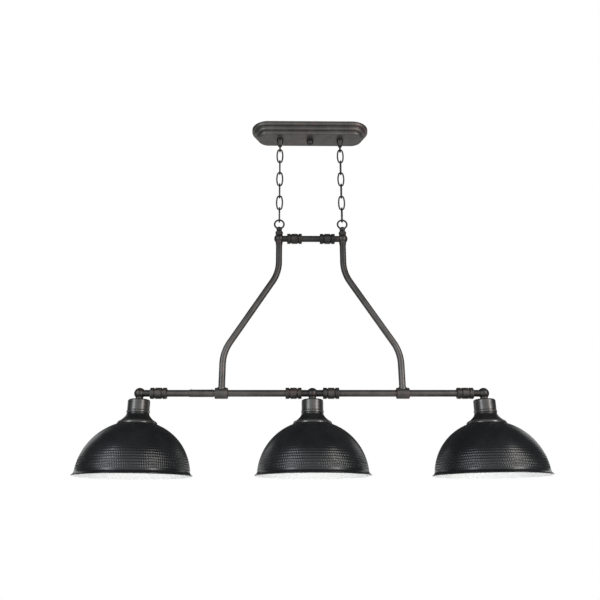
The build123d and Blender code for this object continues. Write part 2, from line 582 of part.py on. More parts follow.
def build():
    """Every sub-part, by the name of its node."""
    nodes = {
        "canopy_pan": canopy_pan(),
        "mounting_strap": mounting_strap(),
        "canopy_stud": canopy_stud(),
        "finial_knob": finial_knob(),
        "ground_screw": ground_screw(),
        "loop_nuts": loop_nuts(),
    }
    hands = {"left": -1, "right": 1}
    for hand, side in hands.items():
        nodes[f"canopy_loop_{hand}"] = canopy_loop(side * CHAIN_X)
        for number in range(1, LINKS_PER_CHAIN + 1):
            nodes[f"chain_{hand}_link_{number}"] = chain_link(side * CHAIN_X, number)
        gap = LINK_GAP if side < 0 else OPEN_PIVOT_GAP
        nodes[f"eye_loop_{hand}"] = eye_loop(side * CHAIN_X, gap)
        nodes[f"top_ball_{hand}"] = top_ball(side)
        nodes[f"top_coupling_{hand}"] = Pos(side * (CHAIN_X - TOP_COUPLING_OFFSET), 0, TOP_Z) * coupling()
        nodes[f"hanger_tube_{hand}"] = hanger_tube(side)
        nodes[f"tee_clamp_{hand}"] = tee_clamp(side)
        inner_end = side * (BAR_COUPLING_OFFSET + BUTT_GAP)
        outer_end = side * (LAMP_SPACING - BAR_COUPLING_OFFSET - BUTT_GAP)
        nodes[f"bar_tube_{hand}"] = tube(min(inner_end, outer_end), max(inner_end, outer_end), BAR_Z)
        nodes[f"inner_bar_coupling_{hand}"] = Pos(side * BAR_COUPLING_OFFSET, 0, BAR_Z) * coupling()
        outer_coupling_x = side * (LAMP_SPACING - BAR_COUPLING_OFFSET)
        nodes[f"outer_bar_coupling_{hand}"] = Pos(outer_coupling_x, 0, BAR_Z) * coupling()
    crossbar_end = CHAIN_X - TOP_COUPLING_OFFSET - BUTT_GAP
    nodes["top_crossbar_tube"] = tube(-crossbar_end, crossbar_end, TOP_Z)
    nodes["tee_set_screws"] = tee_set_screws()
    nodes["bar_sleeve"] = bar_sleeve()
    lamps = {"left": -LAMP_SPACING, "centre": 0.0, "right": LAMP_SPACING}
    for name, x in lamps.items():
        nodes[f"lamp_ball_{name}"] = lamp_ball(x)
        nodes[f"socket_cup_{name}"] = Pos(x, 0, 0) * socket_cup()
        nodes[f"shade_holder_{name}"] = Pos(x, 0, 0) * shade_holder()
        nodes[f"shade_{name}"] = Pos(x, 0, 0) * shade()
        nodes[f"lamp_socket_{name}"] = Pos(x, 0, 0) * lamp_socket()
        nodes[f"shade_ring_{name}"] = Pos(x, 0, 0) * shade_ring()
    nodes["socket_nipples"] = [Pos(x, 0, 0) * socket_nipple() for x in lamps.values()]
    nodes["socket_shells"] = [Pos(x, 0, 0) * socket_shell() for x in lamps.values()]
    return nodes


def main():
    """Write one STEP file per node."""
    os.makedirs("parts", exist_ok=True)
    for name, shape in build().items():
        pieces = shape if isinstance(shape, list) else [shape]
        whole = Compound(children=[solid for piece in pieces for solid in piece.solids()])
        whole.label = name
        export_step(whole, f"parts/{name}.step")


main()
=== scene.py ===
# %% [markdown]
# # A linear island pendant, finished around its CAD frame
# The tubes, fittings, canopy and chains come ready made from the CAD model. This notebook
# gives them their finishes, and makes anew the pieces whose surface is richer than a plain
# solid: the hammered shades with their enamel linings, the holders above them, and the
# threaded parts inside. Everything is in metres, and the ceiling is at height 0.

import math

import bmesh
import bpy
from mathutils import Matrix, Vector, noise


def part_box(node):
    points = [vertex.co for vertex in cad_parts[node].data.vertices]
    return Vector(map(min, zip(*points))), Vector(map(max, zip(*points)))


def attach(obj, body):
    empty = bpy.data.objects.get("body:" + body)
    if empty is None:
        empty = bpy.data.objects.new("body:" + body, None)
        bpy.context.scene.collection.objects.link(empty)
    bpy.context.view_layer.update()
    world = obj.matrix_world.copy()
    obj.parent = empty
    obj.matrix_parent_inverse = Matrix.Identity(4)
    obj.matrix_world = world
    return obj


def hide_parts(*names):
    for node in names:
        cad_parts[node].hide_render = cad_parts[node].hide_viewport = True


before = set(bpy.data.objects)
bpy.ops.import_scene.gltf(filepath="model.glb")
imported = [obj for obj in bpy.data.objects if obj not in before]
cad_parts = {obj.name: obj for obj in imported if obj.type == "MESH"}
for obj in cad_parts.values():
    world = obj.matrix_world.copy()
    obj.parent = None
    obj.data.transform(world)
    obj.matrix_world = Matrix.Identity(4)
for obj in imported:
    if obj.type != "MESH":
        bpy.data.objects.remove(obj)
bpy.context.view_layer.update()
LAMPS = ("left", "centre", "right")

# %% [markdown]
# ## The camera
# The lens stands a little below the rims of the shades, 1.6 m in front of the bar, and looks
# up by 19 degrees. Its place and its tilt were fitted to the balls, rims and couplings of the
# photograph, so they are plain numbers here.

# %% Camera
CAMERA_AT = Vector((-0.0564, -1.6423, -1.1378))
CAMERA_PITCH = math.radians(19.184)
CAMERA_YAW = math.radians(0.825)
CAMERA_ROLL = math.radians(-0.159)
CAMERA_LENS = 36.48

forward = Vector((math.sin(CAMERA_YAW) * math.cos(CAMERA_PITCH),
                  math.cos(CAMERA_YAW) * math.cos(CAMERA_PITCH), math.sin(CAMERA_PITCH)))
level_right = Vector((math.cos(CAMERA_YAW), -math.sin(CAMERA_YAW), 0))
level_up = level_right.cross(forward)
right = math.cos(CAMERA_ROLL) * level_right + math.sin(CAMERA_ROLL) * level_up
up = math.cos(CAMERA_ROLL) * level_up - math.sin(CAMERA_ROLL) * level_right

camera = bpy.data.objects.new("camera", bpy.data.cameras.new("camera"))
camera.data.lens = CAMERA_LENS
turned = Matrix((right, up, -forward)).transposed().to_4x4()
camera.matrix_world = Matrix.Translation(CAMERA_AT) @ turned
bpy.context.scene.collection.objects.link(camera)
bpy.context.scene.camera = camera
bpy.context.scene.view_settings.view_transform = "Standard"
print("camera at", [round(value, 4) for value in CAMERA_AT])

# %% [markdown]
# ## Shader sums
# A finish is a sum of patterns. Nodes could be placed and wired one by one, but then the sum
# is hard to read. A small class wraps a socket, so that `1 - mask` or `dust * 0.5` adds the
# Math node that it says, and one method adds every other kind of node.


# %% Sockets as numbers
class Socket:
    """One output socket of a material. Sums written with it become Math nodes."""

    def __init__(self, tree, output=None):
        self.tree = tree
        self.output = output

    def node(self, kind, settings, sockets, output=0):
        """Add a node: settings first, then a value or a link for each socket named or numbered."""
        made = self.tree.nodes.new(kind)
        for name, value in settings.items():
            setattr(made, name, value)
        for name, value in sockets.items():
            if isinstance(value, Socket):
                self.tree.links.new(value.output, made.inputs[name])
            else:
                made.inputs[name].default_value = value
        return Socket(self.tree, made.outputs[output])

    def math(self, operation, *terms):
        return self.node("ShaderNodeMath", {"operation": operation}, dict(enumerate(terms)))

    def __add__(self, other):
        return self.math("ADD", self, other)

    def __sub__(self, other):
        return self.math("SUBTRACT", self, other)

    def __rsub__(self, other):
        return self.math("SUBTRACT", other, self)

    def __mul__(self, other):
        return self.math("MULTIPLY", self, other)

    __radd__ = __add__
    __rmul__ = __mul__

    def step(self, low, high):
        """0 below low, 1 above high, and a smooth rise between them."""
        return self.node("ShaderNodeMapRange", {"interpolation_type": "SMOOTHSTEP"},
                         {"Value": self, "From Min": low, "From Max": high})

    def size(self):
        """The number without its sign."""
        return self.math("ABSOLUTE", self)

    def most(self, other):
        return self.math("MAXIMUM", self, other)

    def line(self, width):
        """1 where the number is within width of 0, and 0 from twice the width on."""
        return 1 - self.size().step(width, 2 * width)

    def mix(self, first, second):
        """A colour between two others, with this socket as the share of the second."""
        return self.node("ShaderNodeMix", {"data_type": "RGBA"}, {0: self, 6: first, 7: second}, 2)


def rgb(red, green, blue):
    return (red, green, blue, 1.0)


def finish_tree(name):
    """A new material, a socket to build its nodes with, and its main shader."""
    material = bpy.data.materials.new(name)
    material.use_nodes = True
    tree = material.node_tree
    shader = tree.nodes["Principled BSDF"]
    return material, Socket(tree), shader


def feed(shader, **patterns):
    """Link each pattern to the socket of the main shader that it names, with _ for a space."""
    for name, pattern in patterns.items():
        shader.id_data.links.new(pattern.output, shader.inputs[name.replace("_", " ")])


def object_place(socket):
    return socket.node("ShaderNodeTexCoord", {}, {}, 3)


def axes(socket, place):
    """The X, Y and Z of a place, as three sockets."""
    parts = socket.node("ShaderNodeSeparateXYZ", {}, {"Vector": place}).output.node
    return [Socket(socket.tree, output) for output in parts.outputs]


def cloud(socket, place, size, detail=3.0, roughness=0.5):
    """Soft noise whose lumps are about size metres across."""
    return socket.node("ShaderNodeTexNoise", {}, {"Vector": place, "Scale": 1 / size,
                                                  "Detail": detail, "Roughness": roughness})


def stretched(socket, place, scale):
    """Coordinates pulled out along the axes whose scale is below 1."""
    return socket.node("ShaderNodeMapping", {}, {"Vector": place, "Scale": scale})


def bumped(socket, height, depth, base=None):
    """A normal raised by a pattern, with its full height in metres."""
    sockets = {"Height": height, "Distance": depth, "Strength": 1.0}
    if base is not None:
        sockets["Normal"] = base
    return socket.node("ShaderNodeBump", {}, sockets)


def edges(socket, width):
    """(rounded normal, how near a worn edge) from a Bevel node of that width."""
    rounded = socket.node("ShaderNodeBevel", {"samples": 6}, {"Radius": width})
    flat = socket.node("ShaderNodeNewGeometry", {}, {}, 1)
    turn = socket.node("ShaderNodeVectorMath", {"operation": "DOT_PRODUCT"},
                       {0: rounded, 1: flat}, 1)
    return rounded, (1 - turn).step(0.01, 0.2)


print("shader helpers ready")

# %% [markdown]
# ## Aged bronze
# The tubes, balls, couplings and chains are steel with a dark oil-rubbed bronze finish: a
# brown-black lacquer over a copper flash, satin, cloudy from hand to hand, and rubbed thin
# along edges and here and there on the tubes, where a red-brown shows. A flat brown would
# read as plastic, so the colour is a sum of a cloud, a fine grain and a wear mask that the
# edges feed. A Bevel node softens the CAD model's sharp edges, as the thick lacquer does.


# %% Bronze finish
GRAIN_SIZE = 0.0016
GRAIN_DEPTH = 0.00003
LACQUER_EDGE = 0.0006
CUT_DEPTH = 0.0003
BRONZE_METALLIC = 0.75
# Black for the cut lines of seams and grooves, and for the painted shade towards the top of the
# tubes.
SEAM_AND_SHADE_BLACK = rgb(0.012, 0.011, 0.011)


def aged_bronze(name, dark, light, copper, rub_size, shine, rub_share=1.0,
                cuts=None, painted_shade_heights=None):
    """Lacquered metal: two browns in clouds, with copper on edges and in rubbed patches.

    cuts gives a pattern of fine cut lines from a place, 1 in the middle of a line.
    The last argument is two heights of painted shade: the lacquer is as given at the first and
    painted most of the way to black at the second.
    """
    material, socket, shader = finish_tree(name)
    place = object_place(socket)
    clouds = cloud(socket, place, 0.035, 4.0)
    grain = cloud(socket, place, GRAIN_SIZE, 2.0)
    rub = cloud(socket, place, rub_size, 3.0, 0.65)
    rounded, worn = edges(socket, LACQUER_EDGE)
    patches = rub.step(0.56, 0.72) * grain.step(0.25, 0.65) * rub_share
    red = socket.math("MINIMUM", patches + worn * rub.step(0.35, 0.6) * 0.45, 1.0)
    colour = red.mix(clouds.step(0.3, 0.7).mix(dark, light), copper)
    gloss = shine + clouds * 0.12 + grain * 0.05 - worn * 0.08
    relief = bumped(socket, grain + clouds * 0.5, GRAIN_DEPTH, rounded)
    # Painted shade: the colour darkens with height towards the top of the frame.
    if painted_shade_heights:
        share = axes(socket, place)[2].step(*painted_shade_heights) * 0.6
        colour = share.mix(colour, SEAM_AND_SHADE_BLACK)
    if cuts:
        cut = cuts(socket, place)
        colour = cut.mix(colour, SEAM_AND_SHADE_BLACK)
        relief = bumped(socket, 1 - cut, CUT_DEPTH, relief)
    feed(shader, Base_Color=colour, Roughness=gloss, Normal=relief)
    shader.inputs["Metallic"].default_value = BRONZE_METALLIC
    return material


# %% [markdown]
# Two kinds of fine line belong to the real pieces. A chain link is bent from wire and its ends
# are welded in the middle of one side, which leaves a narrow seam. The lathe leaves a fine
# groove round each end ring of a coupling. Both are far thinner than the pieces they are on,
# so a pattern at a known place serves, and the boxes of the CAD nodes give the place.

# %% Seams and grooves
link_boxes = [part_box(f"chain_right_link_{number}") for number in (1, 2)]
first_middle, second_middle = ((low.z + high.z) / 2 for low, high in link_boxes)
LINK_PITCH = first_middle - second_middle
CHAIN_X = (link_boxes[0][0].x + link_boxes[0][1].x) / 2
LINK_SIDE = (0.004, 0.005)
SEAM_HALF = 0.0002
GROOVE_FROM_MIDDLE = 0.0168
COUPLINGS = ("top_coupling", "inner_bar_coupling", "outer_bar_coupling")
coupling_boxes = [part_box(f"{name}_right") for name in COUPLINGS]
COUPLING_PLACES = [(low.x + high.x) / 2 for low, high in coupling_boxes]


def weld_seams(socket, place):
    """A line across the outer or the rear side of each link."""
    x, y, z = axes(socket, place)
    shifted = (z - first_middle).size() + LINK_PITCH / 2
    from_middle = socket.math("MODULO", shifted, LINK_PITCH) - LINK_PITCH / 2
    side = (x.size() - CHAIN_X).most(y).step(*LINK_SIDE)
    return from_middle.line(SEAM_HALF) * side


def ring_grooves(socket, place):
    """A line round both end rings of every coupling."""
    from_centre = axes(socket, place)[0].size()
    grooves = [((from_centre - middle).size() - GROOVE_FROM_MIDDLE).line(SEAM_HALF)
               for middle in COUPLING_PLACES]
    return grooves[0].most(grooves[1]).most(grooves[2])


print("a link every", round(LINK_PITCH, 4), "couplings at", [round(x, 4) for x in COUPLING_PLACES])

# %% [markdown]
# The holders over the shades are blacker than the tubes. Their bead and their rolled rim get a
# painted highlight, two bands of bright grey at known heights, and their worn edges are lighter
# too.

# %% Holder finish
holder_low, holder_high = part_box("shade_holder_centre")
cup_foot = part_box("socket_cup_centre")[0].z
BEAD_TALL = 0.0070
BEAD_MIDDLE = cup_foot - BEAD_TALL / 2
ROLL_MIDDLE = holder_low.z + 0.0045
BEAD_HIGHLIGHT_BAND = 0.0022
ROLL_HIGHLIGHT_BAND = 0.0020


def aged_holder(name, dark, light, highlight_and_wear_grey):
    """The holder's black bronze, with a painted highlight on its bead and on its rolled rim, and
    lighter worn edges.
    """
    material, socket, shader = finish_tree(name)
    place = object_place(socket)
    clouds = cloud(socket, place, 0.03, 4.0)
    grain = cloud(socket, place, GRAIN_SIZE, 2.0)
    rounded, worn = edges(socket, LACQUER_EDGE)
    height = axes(socket, place)[2]
    # Painted highlight: bright bands at the heights of the bead and the rolled rim, with worn edges
    # lighter as well.
    bead = (height - BEAD_MIDDLE).line(BEAD_HIGHLIGHT_BAND)
    roll = (height - ROLL_MIDDLE).line(ROLL_HIGHLIGHT_BAND)
    bright = bead.most(roll).most(worn * 0.5)
    feed(shader,
         Base_Color=bright.mix(clouds.step(0.3, 0.7).mix(dark, light), highlight_and_wear_grey),
         Roughness=0.30 + clouds * 0.12 - bright * 0.10,
         Normal=bumped(socket, grain, GRAIN_DEPTH, rounded))
    shader.inputs["Metallic"].default_value = BRONZE_METALLIC
    return material


print("bead at", round(BEAD_MIDDLE, 4), "roll at", round(ROLL_MIDDLE, 4))

# %% [markdown]
# One bronze isn't enough for the whole lamp. The tubes of the frame are the lightest, and painted
# shade turns them black towards the top. The fittings and chains are a darker copy, painted
# shade of the upper frame, and the cups and the canopy are greyer. Each finish is two browns, a
# copper, the size of its rubbed patches, its shine and how much of it is rubbed.

# %% Bronzes of the lamp
# The third colour is the grey of the painted highlight on bead and rim, and of the worn edges.
black_bronze = aged_holder("black bronze", rgb(0.030, 0.031, 0.032), rgb(0.048, 0.048, 0.048),
                           rgb(0.150, 0.147, 0.145))
RUBBED_COPPER = rgb(0.185, 0.105, 0.095)
RUBBED_RED = rgb(0.185, 0.085, 0.075)
FRAME_BROWNS = (rgb(0.074, 0.071, 0.070), rgb(0.108, 0.101, 0.097),
                RUBBED_COPPER, 0.05, 0.33, 0.5)
COUPLING_BROWNS = (rgb(0.058, 0.056, 0.055), rgb(0.086, 0.080, 0.077),
                   RUBBED_COPPER, 0.05, 0.33, 0.5)
# A darker copy of the frame's bronze for fittings, balls, chains and top couplings: painted shade
# of the upper frame.
SHADED_TOP_BROWNS = (rgb(0.036, 0.035, 0.035), rgb(0.056, 0.053, 0.051), RUBBED_RED, 0.05, 0.30, 0.5)
# Heights of the painted shade on the tubes: it starts this far above the bar and is deepest this
# far under the top crossbar.
SHADE_START_ABOVE_BAR = 0.10
SHADE_FULL_UNDER_TOP = 0.04
bar_z = sum(corner.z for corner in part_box("bar_tube_left")) / 2
top_z = sum(corner.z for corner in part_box("top_crossbar_tube")) / 2
bronze = aged_bronze("aged bronze", *FRAME_BROWNS)
tube_bronze = aged_bronze("tube bronze", *FRAME_BROWNS,
                          painted_shade_heights=(bar_z + SHADE_START_ABOVE_BAR, top_z - SHADE_FULL_UNDER_TOP))
fitting_bronze = aged_bronze("fitting bronze", *SHADED_TOP_BROWNS)
chain_bronze = aged_bronze("chain bronze", *SHADED_TOP_BROWNS, cuts=weld_seams)
top_coupling_bronze = aged_bronze("top coupling bronze", *SHADED_TOP_BROWNS, cuts=ring_grooves)
coupling_bronze = aged_bronze("coupling bronze", *COUPLING_BROWNS, cuts=ring_grooves)
cup_bronze = aged_bronze("cup bronze", rgb(0.080, 0.079, 0.079), rgb(0.108, 0.105, 0.103),
                         rgb(0.160, 0.105, 0.097), 0.03, 0.25, 0.3)
canopy_bronze = aged_bronze("canopy bronze", rgb(0.090, 0.087, 0.083), rgb(0.124, 0.120, 0.114),
                            rgb(0.19, 0.105, 0.100), 0.11, 0.33, 0.5)
print("bronze finishes made")

# %% [markdown]
# ## Shade lacquer and enamel
# The shades are hammered sheet steel, sprayed satin black outside and white inside. The
# black is not quite even: it has soft clouds of a greyer black, and the fine orange peel of a
# sprayed coat. The enamel is smooth and bright, with the faintest of clouds. A colour a step
# below full black or full white leaves room for light and shade on both.


# %% Sprayed finishes
def shade_black():
    material, socket, shader = finish_tree("shade black")
    place = object_place(socket)
    clouds = cloud(socket, place, 0.06, 3.0)
    peel = cloud(socket, place, 0.0011, 2.0)
    blacks = clouds.step(0.3, 0.75).mix(rgb(0.0072, 0.0080, 0.0092), rgb(0.0125, 0.0140, 0.0158))
    feed(shader,
         Base_Color=blacks,
         Roughness=0.23 + clouds * 0.08 + peel * 0.05,
         Normal=bumped(socket, peel, 0.00004))
    return material


def white_enamel():
    material, socket, shader = finish_tree("white enamel")
    place = object_place(socket)
    dust = cloud(socket, place, 0.05, 2.0)
    peel = cloud(socket, place, 0.002, 1.0)
    feed(shader,
         Base_Color=dust.step(0.35, 0.8).mix(rgb(0.895, 0.905, 0.90), rgb(0.875, 0.885, 0.875)),
         Roughness=0.32 + dust * 0.06,
         Normal=bumped(socket, peel, 0.00001))
    return material


black_lacquer = shade_black()
enamel = white_enamel()
print("sprayed finishes made")

# %% [markdown]
# ## Plated, turned and moulded finishes
# Inside are a zinc-plated strap and nuts, brass screw shells, black phenolic lampholders and
# a green earthing screw. Zinc has large soft spangles, brass has a tarnish that grows in
# patches, and phenolic is a hard plastic with a speckled, slightly uneven gloss.


# %% Finishes of the hidden parts
def plated(name, bright, dull, size, shine, metallic=1.0):
    """Bare metal with soft patches of a duller tone and fine scratches along X."""
    material, socket, shader = finish_tree(name)
    place = object_place(socket)
    patches = cloud(socket, place, size, 3.0)
    scratches = cloud(socket, stretched(socket, place, (0.08, 1.0, 1.0)), 0.0007, 2.0)
    rounded, worn = edges(socket, 0.0004)
    feed(shader,
         Base_Color=patches.step(0.35, 0.7).mix(bright, dull),
         Roughness=shine + patches * 0.14 + scratches * 0.10 - worn * 0.08,
         Normal=bumped(socket, scratches, 0.00002, rounded))
    shader.inputs["Metallic"].default_value = metallic
    return material


def moulded(name, colour, speck, shine):
    """Hard moulded plastic, speckled and very slightly rippled."""
    material, socket, shader = finish_tree(name)
    place = object_place(socket)
    specks = cloud(socket, place, 0.0009, 2.0)
    ripple = cloud(socket, place, 0.006, 1.0)
    rounded, worn = edges(socket, 0.0005)
    feed(shader,
         Base_Color=specks.step(0.55, 0.75).mix(colour, speck),
         Roughness=shine + ripple * 0.12 - worn * 0.06,
         Normal=bumped(socket, ripple, 0.00008, rounded))
    return material


zinc = plated("zinc plate", rgb(0.66, 0.67, 0.66), rgb(0.50, 0.51, 0.51), 0.006, 0.24)
brass = plated("brass", rgb(0.80, 0.60, 0.28), rgb(0.56, 0.38, 0.17), 0.008, 0.20)
green_screw = plated("green screw", rgb(0.03, 0.26, 0.09), rgb(0.02, 0.17, 0.06), 0.003, 0.28, 0.5)
phenolic = moulded("phenolic", rgb(0.018, 0.017, 0.017), rgb(0.05, 0.046, 0.043), 0.30)
print("hidden finishes made")

# %% [markdown]
# ## Dress the CAD nodes
# Most nodes already have the right shape, so they only get their finish. A table of name
# beginnings keeps this short: the first beginning that fits a node gives its material.

# %% Assign the finishes
FINISHES = (
    ("canopy_pan", canopy_bronze), ("shade_holder", black_bronze), ("socket_cup", cup_bronze),
    ("chain_", chain_bronze), ("hanger_tube", tube_bronze), ("top_coupling", top_coupling_bronze),
    ("inner_bar_coupling", coupling_bronze), ("outer_bar_coupling", coupling_bronze),
    *((name, fitting_bronze) for name in ("eye_loop", "top_", "canopy_loop", "finial",
                                          "lamp_ball")),
    ("mounting_strap", zinc), ("canopy_stud", zinc), ("loop_nuts", zinc), ("socket_nipples", zinc),
    ("ground_screw", green_screw),
    ("lamp_socket", phenolic), ("shade_ring", phenolic),
    ("socket_shells", brass),
    ("", bronze),
)


def dress(node, material):
    """The node's only material is the one given."""
    mesh = node.data
    mesh.materials.clear()
    mesh.materials.append(material)


for name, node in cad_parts.items():
    dress(node, next(material for start, material in FINISHES if name.startswith(start)))
print("dressed", len(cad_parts), "nodes")

# %% [markdown]
# ## Making a piece
# Every new piece starts as a bmesh, and a matrix moves it to its place on the lamp. One
# function turns its faces outward, shades it smooth but keeps hard edges, and lets it ride on
# a body of the frame, so that it moves with the joints. It hides the CAD node that the piece
# stands for, if there is one. Spinning and extruding leave the faces in an order that changes
# from run to run, so they are sorted by their corners, and each run gives the same mesh.

# %% From bmesh to piece
CORNER_ROOM = 2.0 ** 17


def face_number(face):
    """A number that no other face has, made of the numbers of its first three corners."""
    first, second, third = sorted(vertex.index for vertex in face.verts)[:3]
    return (first * CORNER_ROOM + second) * CORNER_ROOM + third


def make_piece(name, mesh, material, body, replaced=(), crease=35.0):
    """Make an object of a bmesh and let it ride on a body. crease is in degrees."""
    bmesh.ops.recalc_face_normals(mesh, faces=mesh.faces)
    mesh.verts.index_update()
    mesh.faces.sort(key=face_number)
    data = bpy.data.meshes.new(name)
    mesh.to_mesh(data)
    mesh.free()
    data.shade_smooth()
    data.set_sharp_from_angle(angle=math.radians(crease))
    data.materials.append(material)
    piece = bpy.data.objects.new(name, data)
    bpy.context.scene.collection.objects.link(piece)
    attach(piece, body)
    if replaced:
        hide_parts(*replaced)
    triangles = sum(len(polygon.vertices) - 2 for polygon in data.polygons)
    print(name, triangles, "triangles")


def moved(mesh, place):
    """A copy of a bmesh, moved by a matrix."""
    copy = mesh.copy()
    copy.transform(place)
    return copy


def lamp_place(lamp, node="socket_cup"):
    """The move from the middle of the room to the axis of a lamp's node."""
    low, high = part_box(f"{node}_{lamp}")
    return Matrix.Translation(((low.x + high.x) / 2, 0, 0))


def spun(profile, steps, marks=None, closed=True):
    """Turn a profile of (radius, height) points about the Z axis by a whole turn.

    Each point can carry a mark, a number that all the vertices made from it keep.
    """
    mesh = bmesh.new()
    layer = mesh.verts.layers.float.new("mark")
    points = [mesh.verts.new((radius, 0, height)) for radius, height in profile]
    for point, mark in zip(points, marks or []):
        point[layer] = mark
    ends = points[1:] + points[:1] if closed else points[1:]
    lines = [mesh.edges.new(pair) for pair in zip(points, ends)]
    bmesh.ops.spin(mesh, geom=points + lines, cent=(0, 0, 0), axis=(0, 0, 1), dvec=(0, 0, 0),
                   angle=2 * math.pi, steps=steps, use_merge=True)
    return mesh, layer


def smooth_rise(value, low, high):
    """0 below low, 1 above high, and a smooth rise between them."""
    share = min(1.0, max(0.0, (value - low) / (high - low)))
    return share * share * (3 - 2 * share)


# %% [markdown]
# ## The hammered shades
# Each shade is a disc of steel spun over a dome and then hammered on a turning anvil, ring
# above ring, so the dents stand in level rows that show as fine bright lines. The dents fade
# out towards the crown. A bump map could fake them, but the silhouette and the highlights
# are truer in real geometry: the section is spun round the lamp's axis, and then every
# vertex of the outer wall is pushed in by the depth of the dent that it lies in.

# %% Section of a shade
rim_low, rim_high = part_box("shade_centre")
RIM_Z = rim_low.z
RIM_RADIUS = (rim_high.x - rim_low.x) / 2
CROWN_Z = rim_high.z
DOME_RADIUS = 0.1465
DOME_HEIGHT = 0.1430
SHEET = 0.0015
CROWN_SHEET = 0.0012
LIP_HEIGHT = 0.013
LIP_BOW = 0.0016
BEAD_RADIUS = 0.0020
BEAD_INSIDE = -190
ENAMEL_END = -68
ENAMEL_THICK = 0.00022
ENAMEL_GAP = 0.00002
LINING_STEPS = 160
CROWN_HOLE = 0.0205
CROWN_MIDDLE = 0.0300
CROWN_EDGE = 0.0400
RING_PITCH = 0.0069
ROWS_PER_RING = 5
HAMMERED_RINGS = 16
SMOOTH_ROWS = 10
SHADE_STEPS = 840
DENT_LENGTH = 0.0056
RING_DEPTH = 0.00024
RING_FADE = (9.5, HAMMERED_RINGS)
DENT_DEPTH = 0.00080
DENT_FADE = (3.5, 8.5)
DENT_SHIFT = 2.4
DENT_SWING = 0.35
SWINGS_ROUND = 3
SWINGS_UP = 0.7
MEAN_RADIUS = (DOME_RADIUS + DOME_HEIGHT) / 2
lip_angle = math.asin(LIP_HEIGHT / DOME_HEIGHT)
crown_angle = math.acos(CROWN_EDGE / DOME_RADIUS)
WALL_END = crown_angle - 0.002
LINING_BACK_END = crown_angle - 0.004
LINING_FACE_END = crown_angle - 0.006


def dome_point(angle, inset=0.0):
    """A point of the dome's section, at an angle above the rim and an inset into the sheet."""
    return ((DOME_RADIUS - inset) * math.cos(angle),
            RIM_Z + (DOME_HEIGHT - inset) * math.sin(angle))


def between(start, end, count):
    """count numbers from start to end, both included."""
    return [start + (end - start) * index / (count - 1) for index in range(count)]


def arc_points(middle, half, start, end, count):
    """Points on part of an ellipse with those half widths, with angles in degrees."""
    return [(middle[0] + half[0] * math.cos(math.radians(turn)),
             middle[1] + half[1] * math.sin(math.radians(turn)))
            for turn in between(start, end, count)]


def bead_arc(radius, start, end, count):
    """Points round the bead at the rim, with angles in degrees from straight outward."""
    middle = (RIM_RADIUS - BEAD_RADIUS, RIM_Z + BEAD_RADIUS)
    return arc_points(middle, (radius, radius), start, end, count)


print("shade rim radius", round(RIM_RADIUS, 4), "at", round(RIM_Z, 4))

# %% [markdown]
# A dent is as deep as a product of plain waves says: one wave across each ring, one along it,
# a slow noise that lets the hammer's force swing, and a fade towards the crown and the lip.
# Each ring is shifted against the next, so that the dents don't line up. The section's points
# carry their length of arc as a mark, and the spin hands it to all the vertices made of them.


# %% Dents
def dent_depth(arc, radius, turn):
    """How deep the hammer went, at a length of arc above the lip and a turn round the axis."""
    ring = arc / RING_PITCH
    row = math.floor(ring)
    across = math.sin(math.pi * (ring - row))
    dents = round(math.pi * radius / DENT_LENGTH)
    along = abs(math.sin(dents * turn + row * DENT_SHIFT))
    swing = noise.noise(Vector((math.cos(turn) * SWINGS_ROUND, math.sin(turn) * SWINGS_ROUND,
                                row * SWINGS_UP)))
    dent = DENT_DEPTH * (1 - smooth_rise(ring, *DENT_FADE)) * along * (1 + DENT_SWING * swing)
    fade = smooth_rise(arc, 0.0, 0.5 * RING_PITCH) * (1 - smooth_rise(ring, *RING_FADE))
    return fade * across * (RING_DEPTH + dent)


def outer_section():
    """The outside of a shade from the hole in the crown to the lip, with each point's arc."""
    spans = [(CROWN_HOLE, CROWN_Z), (CROWN_MIDDLE, CROWN_Z)]
    marks = [-1.0, -1.0]
    top_arc = (crown_angle - lip_angle) * MEAN_RADIUS
    hammered_arc = HAMMERED_RINGS * RING_PITCH
    arcs = between(top_arc, hammered_arc, SMOOTH_ROWS)[:-1]
    arcs += between(hammered_arc, 0.0, HAMMERED_RINGS * ROWS_PER_RING + 1)
    for arc in arcs:
        spans.append(dome_point(lip_angle + arc / MEAN_RADIUS))
        marks.append(arc if arc <= hammered_arc else -1.0)
    return spans, marks


def lip_section():
    """The turned-out lip and the bead, without the enamel's thickness."""
    start = dome_point(lip_angle)
    end = (RIM_RADIUS - BEAD_RADIUS, RIM_Z + 2 * BEAD_RADIUS - ENAMEL_THICK)
    curve = []
    for share in (0.25, 0.5, 0.75):
        bow = LIP_BOW * math.sin(math.pi * share)
        curve.append((start[0] + (end[0] - start[0]) * share - bow,
                      start[1] + (end[1] - start[1]) * share))
    return curve + bead_arc(BEAD_RADIUS - ENAMEL_THICK, 90, BEAD_INSIDE, 10)


def shade_mesh():
    """A closed shell: hammered outside, bead, and a plain inner wall."""
    outer, marks = outer_section()
    lip = lip_section()
    inner = [dome_point(angle, SHEET) for angle in between(lip_angle, WALL_END, 12)]
    crown = [(CROWN_MIDDLE, CROWN_Z - CROWN_SHEET), (CROWN_HOLE, CROWN_Z - CROWN_SHEET)]
    profile = outer + lip + inner + crown
    mesh, layer = spun(profile, SHADE_STEPS, marks + [-1.0] * (len(profile) - len(marks)))
    for vertex in mesh.verts:
        arc = vertex[layer]
        if arc < 0:
            continue
        angle = lip_angle + arc / MEAN_RADIUS
        radius = math.hypot(vertex.co.x, vertex.co.y)
        turn = math.atan2(vertex.co.y, vertex.co.x)
        outward = Vector((math.cos(angle) / DOME_RADIUS, math.sin(angle) / DOME_HEIGHT))
        outward.normalize()
        depth = dent_depth(arc, radius, turn)
        dented = radius - outward.x * depth
        vertex.co = (dented * math.cos(turn), dented * math.sin(turn),
                     vertex.co.z - outward.y * depth)
    return mesh


